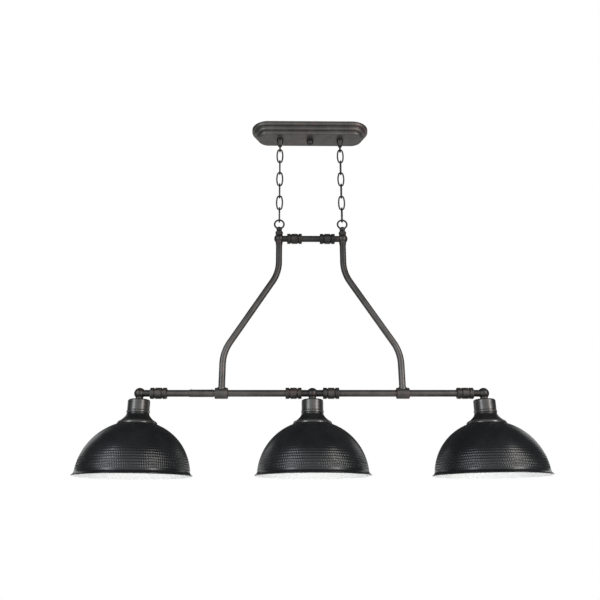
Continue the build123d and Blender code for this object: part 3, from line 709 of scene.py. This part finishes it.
def lining_mesh():
    """A thin closed skin of enamel on the inside of the dome, the lip and the bead."""
    near = SHEET + ENAMEL_GAP
    far = near + ENAMEL_THICK
    inside = [dome_point(angle, near) for angle in between(LINING_BACK_END, lip_angle, 26)]
    inside += bead_arc(BEAD_RADIUS - ENAMEL_THICK + ENAMEL_GAP, BEAD_INSIDE, ENAMEL_END, 8)
    face = bead_arc(BEAD_RADIUS, ENAMEL_END, BEAD_INSIDE, 8)
    face += [dome_point(angle, far) for angle in between(lip_angle, LINING_FACE_END, 26)]
    mesh, _ = spun(inside + face, LINING_STEPS)
    return mesh


print("rings", HAMMERED_RINGS, "of", ROWS_PER_RING, "rows")

# %% [markdown]
# The enamel could be a second material on the shade's inner faces. As a skin of its own it
# ends in a clean line on the bead, as a sprayed coat does, and the hammered wall behind it
# stays plain. Both meshes are made once and copied to the three lamps.

# %% Shades and linings
dome = shade_mesh()
lining = lining_mesh()
for lamp in LAMPS:
    place = lamp_place(lamp, "shade")
    make_piece(f"hammered_shade_{lamp}", moved(dome, place), black_lacquer, "frame",
               [f"shade_{lamp}"], 50)
    make_piece(f"enamel_lining_{lamp}", moved(lining, place), enamel, "frame", crease=60)

# %% [markdown]
# ## The shade holders
# A holder is spun from one disc: a spigot that hides in the cup, a bead under it, a hollow
# flare and a rolled rim that grips the shade. The CAD model has the same bands with plain
# arcs. Spun here from a curve of many points, the flare takes the softer line of the real one.

# %% Section of a holder
HOLDER_FOOT = holder_low.z
HOLDER_RIM = (holder_high.x - holder_low.x) / 2
HOLDER_SHEET = 0.0012
SPIGOT_RADIUS, SPIGOT_TOP = 0.02815, cup_foot + 0.008
BEAD_OUT = 0.0310
NECK_RADIUS, NECK_TALL = 0.0297, 0.0025
ROLL_TALL, ROLL_WIDE = 0.0085, 0.0070
ROLL_LIFT = 0.0004
FOOT_LIFT = 0.0005
FLARE_BEND = 1.55
FLARE_FACING = (0.8, 0.6)
HOLDER_STEPS = 120
bead_foot = cup_foot - BEAD_TALL
neck_end = bead_foot - NECK_TALL
roll_top = HOLDER_FOOT + ROLL_TALL
roll_start = HOLDER_RIM - ROLL_WIDE
flare = []
for share in between(0.0, 1.0, 15):
    flare.append((NECK_RADIUS + (roll_start - NECK_RADIUS) * share ** FLARE_BEND,
                  neck_end + (roll_top - neck_end) * share))
skin = [(SPIGOT_RADIUS, SPIGOT_TOP), (SPIGOT_RADIUS, cup_foot)]
bead_half = BEAD_TALL / 2
skin += arc_points((BEAD_OUT - bead_half, cup_foot - bead_half), (bead_half, bead_half), 78, -68, 9)
skin += [(NECK_RADIUS, bead_foot)] + flare
roll_half = (ROLL_WIDE, ROLL_TALL - ROLL_LIFT)
skin += arc_points((roll_start, HOLDER_FOOT + ROLL_LIFT), roll_half, 80, 0, 9)
skin += [(HOLDER_RIM, HOLDER_FOOT), (HOLDER_RIM - HOLDER_SHEET, HOLDER_FOOT + FOOT_LIFT)]
back = [(roll_start, roll_top - HOLDER_SHEET)]
back += [(radius - FLARE_FACING[0] * HOLDER_SHEET, height - FLARE_FACING[1] * HOLDER_SHEET)
         for radius, height in reversed(flare[:-1])]
back += [(SPIGOT_RADIUS - HOLDER_SHEET, cup_foot - HOLDER_SHEET),
         (SPIGOT_RADIUS - HOLDER_SHEET, SPIGOT_TOP)]
print("holder section of", len(skin + back), "points")

# %% Spun holders
holder_mesh, _ = spun(skin + back, HOLDER_STEPS)
for lamp in LAMPS:
    place = lamp_place(lamp, "shade_holder")
    make_piece(f"spun_holder_{lamp}", moved(holder_mesh, place), black_bronze, "frame",
               [f"shade_holder_{lamp}"], 40)

# %% [markdown]
# ## Threads
# The stud, the nipples, the lampholders and their brass shells are screwed together, and the
# thread of a shell or a lampholder can be seen from below. A thread could be a helix swept as
# a curve and joined to its rod. Here the plain turned part is spun first, with many rows, and
# each vertex of the wall then moves in by the depth of the thread at its height and turn.
# That leaves one closed skin, and lets the thread run out softly at both ends.


# %% Cutting a thread
def cut_wall(mesh, heights, radii, fade, depth, wave):
    """Press a wave into the walls that lie between two heights and between two radii.

    The wave is 1 where the cut is deepest. It takes a height and a share of a turn.
    """
    low, high = heights
    near, far = radii
    for vertex in mesh.verts:
        radius = math.hypot(vertex.co.x, vertex.co.y)
        height = vertex.co.z
        if not (low < height < high and near < radius < far):
            continue
        turn = math.atan2(vertex.co.y, vertex.co.x) / (2 * math.pi)
        run_out = smooth_rise(height, low, low + fade) * smooth_rise(high - height, 0, fade)
        share = 1 - depth * wave(height, turn) * run_out / radius
        vertex.co.x *= share
        vertex.co.y *= share


def cut_thread(mesh, heights, radii, pitch, depth):
    """Press a rounded thread into those walls."""
    cut_wall(mesh, heights, radii, pitch, depth,
             lambda height, turn: 0.5 - 0.5 * math.cos(2 * math.pi * (height / pitch - turn)))


def wall(radius, start, end, spacing):
    """Points up or down a straight wall, close enough for a thread to show."""
    count = 1 + math.ceil(abs(end - start) / spacing)
    return [(radius, height) for height in between(start, end, count)]


def turned_parts(name, node, mesh, material):
    """A copy of a turned part at each lamp. {} in the node's name stands for the lamp, and a
    node without it holds all three, so only the first copy replaces it."""
    for lamp in LAMPS:
        replaced = [node.format(lamp)] if "{}" in node or lamp == LAMPS[0] else []
        make_piece(f"{name}_{lamp}", moved(mesh, lamp_place(lamp)), material, "frame",
                   replaced, 40)


print("thread tools ready")

# %% [markdown]
# The brass shell is rolled from thin sheet, so its thread shows inside and outside alike, and
# a plate with a hole closes its upper end round the centre contact.

# %% Brass screw shells
shell_low, shell_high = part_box("socket_shells")
SHELL_RADIUS = 0.0139
SHELL_SHEET = 0.0005
SHELL_PITCH = 0.0036
SHELL_ROW = 0.0006
SHELL_DEPTH = 0.0007
SHELL_STEPS = 72
SHELL_WALLS = (0.012, 0.015)
PLATE_HOLE = 0.0045
CORNER_OUT = (0.0012, 0.0014)
CORNER_IN = (0.0015, 0.0016)
SHELL_ENDS = (0.001, 0.003)
shell_mouth, shell_top = shell_low.z, shell_high.z
outer_wall = wall(SHELL_RADIUS, shell_mouth, shell_top - CORNER_OUT[1], SHELL_ROW)
inner_wall = wall(SHELL_RADIUS - SHELL_SHEET, shell_top - CORNER_IN[1], shell_mouth, SHELL_ROW)
end_plate = [(SHELL_RADIUS - CORNER_OUT[0], shell_top), (PLATE_HOLE, shell_top),
             (PLATE_HOLE, shell_top - SHELL_SHEET),
             (SHELL_RADIUS - CORNER_IN[0], shell_top - SHELL_SHEET)]
shell_thread = (shell_mouth + SHELL_ENDS[0], shell_top - SHELL_ENDS[1])
shell_mesh, _ = spun(outer_wall + end_plate + inner_wall, SHELL_STEPS)
cut_thread(shell_mesh, shell_thread, SHELL_WALLS, SHELL_PITCH, SHELL_DEPTH)
turned_parts("threaded_shell", "socket_shells", shell_mesh, brass)

# %% [markdown]
# The lampholder is a moulded body with a narrow neck, a sloping shoulder and a long barrel. On
# the barrel is the coarse thread that the shade's ring climbs, and grip ribs stand above it,
# so that a hand can hold the body while the ring is turned.

# %% Section of a lampholder
body_low, body_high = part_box("lamp_socket_centre")
BODY_RADIUS = (body_high.x - body_low.x) / 2
BODY_MOUTH, BODY_TOP = body_low.z, body_high.z
NECK_OUT, NECK_LONG = 0.0095, 0.004
SHOULDER = (0.0183, 0.0030)
SHOULDER_LONG = 0.006
BODY_EDGE = 0.0008
BODY_ROW = 0.0006
WELL = 0.0050
WELL_DEPTH = 0.0040
WELL_EDGE = 0.001
BODY_PLAY = 0.0001
BODY_PITCH = 0.0030
BODY_DEPTH = 0.0009
BODY_STEPS = 96
BODY_WALL = (0.019, 0.021)
RIB_DEPTH = 0.0006
RIB_FADE = 0.001
RIB_LONG = 0.014
RIBS = 24
THREAD_MARGIN = 0.002
neck_foot = BODY_TOP - NECK_LONG
barrel_top = neck_foot - SHOULDER_LONG
barrel_foot = BODY_MOUTH + BODY_EDGE
rib_foot = barrel_top - RIB_LONG
body_thread = (barrel_foot + THREAD_MARGIN, rib_foot - THREAD_MARGIN)
bore = SHELL_RADIUS + BODY_PLAY
floor_z = shell_top + BODY_PLAY
body_profile = [(WELL, BODY_TOP), (NECK_OUT, BODY_TOP), (NECK_OUT, neck_foot),
                (SHOULDER[0], neck_foot - SHOULDER[1])]
body_profile += wall(BODY_RADIUS, barrel_top, barrel_foot, BODY_ROW)
body_profile += [(BODY_RADIUS - BODY_EDGE, BODY_MOUTH), (bore, BODY_MOUTH), (bore, floor_z),
                 (WELL, floor_z), (WELL, floor_z + WELL_DEPTH),
                 (WELL - BODY_PLAY, BODY_TOP - WELL_EDGE)]
print("lampholder section of", len(body_profile), "points")

# %% Lampholder bodies
body_mesh, _ = spun(body_profile, BODY_STEPS)
cut_thread(body_mesh, body_thread, BODY_WALL, BODY_PITCH, BODY_DEPTH)
cut_wall(body_mesh, (rib_foot, barrel_top), BODY_WALL, RIB_FADE, RIB_DEPTH,
         lambda height, turn: 0.5 - 0.5 * math.cos(2 * math.pi * RIBS * turn))
turned_parts("lampholder_body", "lamp_socket_{}", body_mesh, phenolic)

# %% [markdown]
# In the floor of each lampholder a brass tongue touches the tip of the bulb. It is a strip bent
# twice and held by a rivet, extruded here along its bends and then given its thickness.

# %% Centre contacts
TONGUE_HALF = 0.0030
TONGUE_SHEET = 0.0004
TONGUE_PATH = [(-0.0075, 0.0006), (-0.0035, 0.0006), (-0.0012, 0.0022), (0.0020, 0.0042),
               (0.0052, 0.0048)]
RIVET_RADIUS = 0.0013
RIVET_FLATNESS = 0.6
RIVET_AT = (-0.0055, 0, -0.0009)
tongue = bmesh.new()
start_x, start_drop = TONGUE_PATH[0]
corners = [tongue.verts.new((start_x, side * TONGUE_HALF, -start_drop)) for side in (-1, 1)]
strip = tongue.edges.new(corners)
for (x0, drop0), (x1, drop1) in zip(TONGUE_PATH, TONGUE_PATH[1:]):
    grown = bmesh.ops.extrude_edge_only(tongue, edges=[strip])["geom"]
    strip = next(item for item in grown if isinstance(item, bmesh.types.BMEdge)
                 and all(vertex in grown for vertex in item.verts))
    bmesh.ops.translate(tongue, vec=(x1 - x0, 0, drop0 - drop1), verts=strip.verts)
bmesh.ops.solidify(tongue, geom=tongue.faces[:], thickness=TONGUE_SHEET)
rivet = bmesh.ops.create_uvsphere(tongue, u_segments=16, v_segments=8, radius=RIVET_RADIUS)["verts"]
bmesh.ops.scale(tongue, vec=(1, 1, RIVET_FLATNESS), verts=rivet)
bmesh.ops.translate(tongue, vec=RIVET_AT, verts=rivet)
bmesh.ops.translate(tongue, vec=(0, 0, shell_top - SHELL_SHEET), verts=tongue.verts)
for lamp in LAMPS:
    make_piece(f"centre_contact_{lamp}", moved(tongue, lamp_place(lamp)), brass, "frame",
               crease=50)

# %% [markdown]
# A nipple is a short threaded pipe that screws each lampholder's cup to its ball, and lets the
# wires through. Its wall is spun with four rows of vertices to each turn of the thread.

# %% Threaded nipples
nipple_low, nipple_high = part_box("socket_nipples")
NIPPLE_RADIUS = 0.0049
NIPPLE_BORE = 0.0036
NIPPLE_PITCH = 0.0010
NIPPLE_DEPTH = 0.0004
NIPPLE_WALL = (0.0045, 0.0055)
NIPPLE_STEPS = 40
nipple_profile = wall(NIPPLE_RADIUS, nipple_high.z, nipple_low.z, NIPPLE_PITCH / 4)
nipple_profile += [(NIPPLE_BORE, nipple_low.z), (NIPPLE_BORE, nipple_high.z)]
nipple_mesh, _ = spun(nipple_profile, NIPPLE_STEPS)
cut_thread(nipple_mesh, (nipple_low.z, nipple_high.z), NIPPLE_WALL, NIPPLE_PITCH, NIPPLE_DEPTH)
turned_parts("threaded_nipple", "socket_nipples", nipple_mesh, zinc)

# %% [markdown]
# The stud hangs from the strap, with a nut that locks it, and the knob under the canopy screws
# onto it. Its profile starts and ends on the axis, so the spin leaves a pole at each end, and
# merging doubles closes both.

# %% Threaded stud
stud_low, stud_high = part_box("canopy_stud")
STUD_RADIUS = 0.0024
STUD_PITCH = 0.0008
STUD_DEPTH = 0.0003
STUD_WALL = (0.002, 0.003)
STUD_STEPS = 32
NUT_FLATS = 0.0082
NUT_RADIUS = NUT_FLATS / math.sqrt(3)
NUT_TALL = 0.0030
stud_profile = [(0, stud_high.z)] + wall(STUD_RADIUS, stud_high.z, stud_low.z, STUD_PITCH / 4)
stud_mesh, _ = spun(stud_profile + [(0, stud_low.z)], STUD_STEPS, closed=False)
cut_thread(stud_mesh, (stud_low.z, stud_high.z), STUD_WALL, STUD_PITCH, STUD_DEPTH)
bmesh.ops.remove_doubles(stud_mesh, verts=stud_mesh.verts, dist=1e-6)
nut_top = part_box("mounting_strap")[0].z
nut = bmesh.ops.create_cone(stud_mesh, cap_ends=True, segments=6, radius1=NUT_RADIUS,
                            radius2=NUT_RADIUS, depth=NUT_TALL)["verts"]
bmesh.ops.translate(stud_mesh, vec=(0, 0, nut_top - NUT_TALL / 2), verts=nut)
make_piece("threaded_stud", stud_mesh, zinc, "canopy", ["canopy_stud"], 40)

# %% [markdown]
# ## The studio
# The floor is pale and far below the lamp. A plain floor would end in a grey edge, so its
# shader is mixed with pure white by distance, and it fades into the room before its edge.
# Only the camera sees that white: the floor keeps its shadow, and lights nothing by itself.

# %% Floor
FLOOR_Z = -2.6
FLOOR_HALF = 4.0
FLOOR_FADE = (1.3, 3.6)
floor_mesh = bmesh.new()
bmesh.ops.create_grid(floor_mesh, x_segments=1, y_segments=1, size=FLOOR_HALF)
bmesh.ops.translate(floor_mesh, vec=(0, 0, FLOOR_Z), verts=floor_mesh.verts)
floor_data = bpy.data.meshes.new("floor")
floor_mesh.to_mesh(floor_data)
floor_mesh.free()
floor = bpy.data.objects.new("floor", floor_data)
bpy.context.scene.collection.objects.link(floor)

floor_finish, socket, shader = finish_tree("pale floor")
shader.inputs["Base Color"].default_value = rgb(0.86, 0.86, 0.85)
shader.inputs["Roughness"].default_value = 0.8
place = object_place(socket)
across = socket.node("ShaderNodeVectorMath", {"operation": "MULTIPLY"}, {0: place, 1: (1, 1, 0)})
distance = socket.node("ShaderNodeVectorMath", {"operation": "LENGTH"}, {0: across}, 1)
seen = socket.node("ShaderNodeLightPath", {}, {}, 0)
white = socket.node("ShaderNodeEmission", {}, {"Color": rgb(1, 1, 1), "Strength": 1.0})
matt = Socket(socket.tree, shader.outputs[0])
whiteness = distance.step(*FLOOR_FADE) * seen
faded = socket.node("ShaderNodeMixShader", {}, {0: whiteness, 1: matt, 2: white})
socket.tree.links.new(faded.output, socket.tree.nodes["Material Output"].inputs["Surface"])
floor.data.materials.append(floor_finish)
print("floor at", FLOOR_Z)

# %% [markdown]
# The room is white where the camera and the mirrors look at it, and gives less than half that
# light to the lamp. A white world at full strength would flatten every form. The Light Path
# node tells the two apart.

# %% World
ROOM_LIGHT = 0.45
world = bpy.data.worlds.new("white room")
bpy.context.scene.world = world
world.use_nodes = True
ray = world.node_tree.nodes.new("ShaderNodeLightPath")
camera_ray, glossy_ray, transmission_ray = (
    Socket(world.node_tree, ray.outputs[name])
    for name in ("Is Camera Ray", "Is Glossy Ray", "Is Transmission Ray"))
background = world.node_tree.nodes["Background"]
background.inputs["Color"].default_value = rgb(1, 1, 1)
seen_white = camera_ray.most(glossy_ray).most(transmission_ray)
strength = ROOM_LIGHT + (1 - ROOM_LIGHT) * seen_white
world.node_tree.links.new(strength.output, background.inputs["Strength"])
print("room light", ROOM_LIGHT)

# %% [markdown]
# Two tall soft boxes stand left and right of the camera, one a little cool and one a little
# warm. The dark metal shows them as the upright streaks on cups and balls. A third lies just
# above the floor and faces up, since in a real studio the white floor would light the enamel
# inside the shades. It is hidden from mirrors, and it doesn't light the floor.


# %% Soft boxes
def soft_box(name, at, target, size, power, colour):
    """A rectangular area lamp that faces a point."""
    data = bpy.data.lights.new(name, "AREA")
    data.shape = "RECTANGLE"
    data.size, data.size_y = size
    data.energy = power
    data.color = colour
    lamp = bpy.data.objects.new(name, data)
    lamp.location = at
    lamp.rotation_euler = (Vector(target) - Vector(at)).to_track_quat("-Z", "Y").to_euler()
    lamp.visible_camera = False
    bpy.context.scene.collection.objects.link(lamp)
    return lamp


soft_box("left_box", at=(-1.9, -1.8, -0.2), target=(0, 0, -0.85), size=(0.5, 2.2),
         power=28, colour=(0.88, 0.95, 1.0))
soft_box("right_box", at=(1.9, -1.8, -0.2), target=(0, 0, -0.85), size=(0.5, 2.2),
         power=36, colour=(1.0, 0.96, 0.92))
low_box = soft_box("low_box", at=(0, -1.5, -2.5), target=(0, -1.5, 0), size=(3.4, 1.2),
                   power=46, colour=(1.0, 1.0, 1.0))
low_box.visible_glossy = False
print("soft boxes placed")

# %% [markdown]
# Dark metal looks as its surroundings do. A photographer hangs dark cards where white walls
# would wash it out, so one card is over the lamp, one at each side and a low wide one far
# behind. Only reflections see them, and the white room is still mirrored in front and below.


# %% Dark cards
def dark_card(name, at, turns, half):
    """A sheet with those half sizes, turned about X and Y by degrees, that only mirrors show."""
    mesh = bmesh.new()
    bmesh.ops.create_grid(mesh, x_segments=1, y_segments=1, size=1)
    bmesh.ops.scale(mesh, vec=(*half, 1), verts=mesh.verts)
    tilt = (Matrix.Rotation(math.radians(turns[0]), 4, "X")
            @ Matrix.Rotation(math.radians(turns[1]), 4, "Y"))
    mesh.transform(Matrix.Translation(at) @ tilt)
    data = bpy.data.meshes.new(name)
    mesh.to_mesh(data)
    mesh.free()
    data.materials.append(card_finish)
    card = bpy.data.objects.new(name, data)
    bpy.context.scene.collection.objects.link(card)
    card.visible_camera = card.visible_diffuse = False
    card.visible_transmission = card.visible_shadow = False


card_finish, socket, shader = finish_tree("dark card")
shader.inputs["Base Color"].default_value = rgb(0.10, 0.10, 0.10)
shader.inputs["Roughness"].default_value = 0.9
dark_card("top_card", at=(0, 0, 2.3), turns=(0, 0), half=(4.2, 4.2))
dark_card("left_card", at=(-4.2, 0.4, 0.2), turns=(0, 90), half=(2.6, 2.6))
dark_card("right_card", at=(4.2, 0.4, 0.2), turns=(0, 90), half=(2.6, 2.6))
dark_card("back_card", at=(0, 4.6, 1.3), turns=(90, 0), half=(3.4, 1.6))
print("dark cards hung")
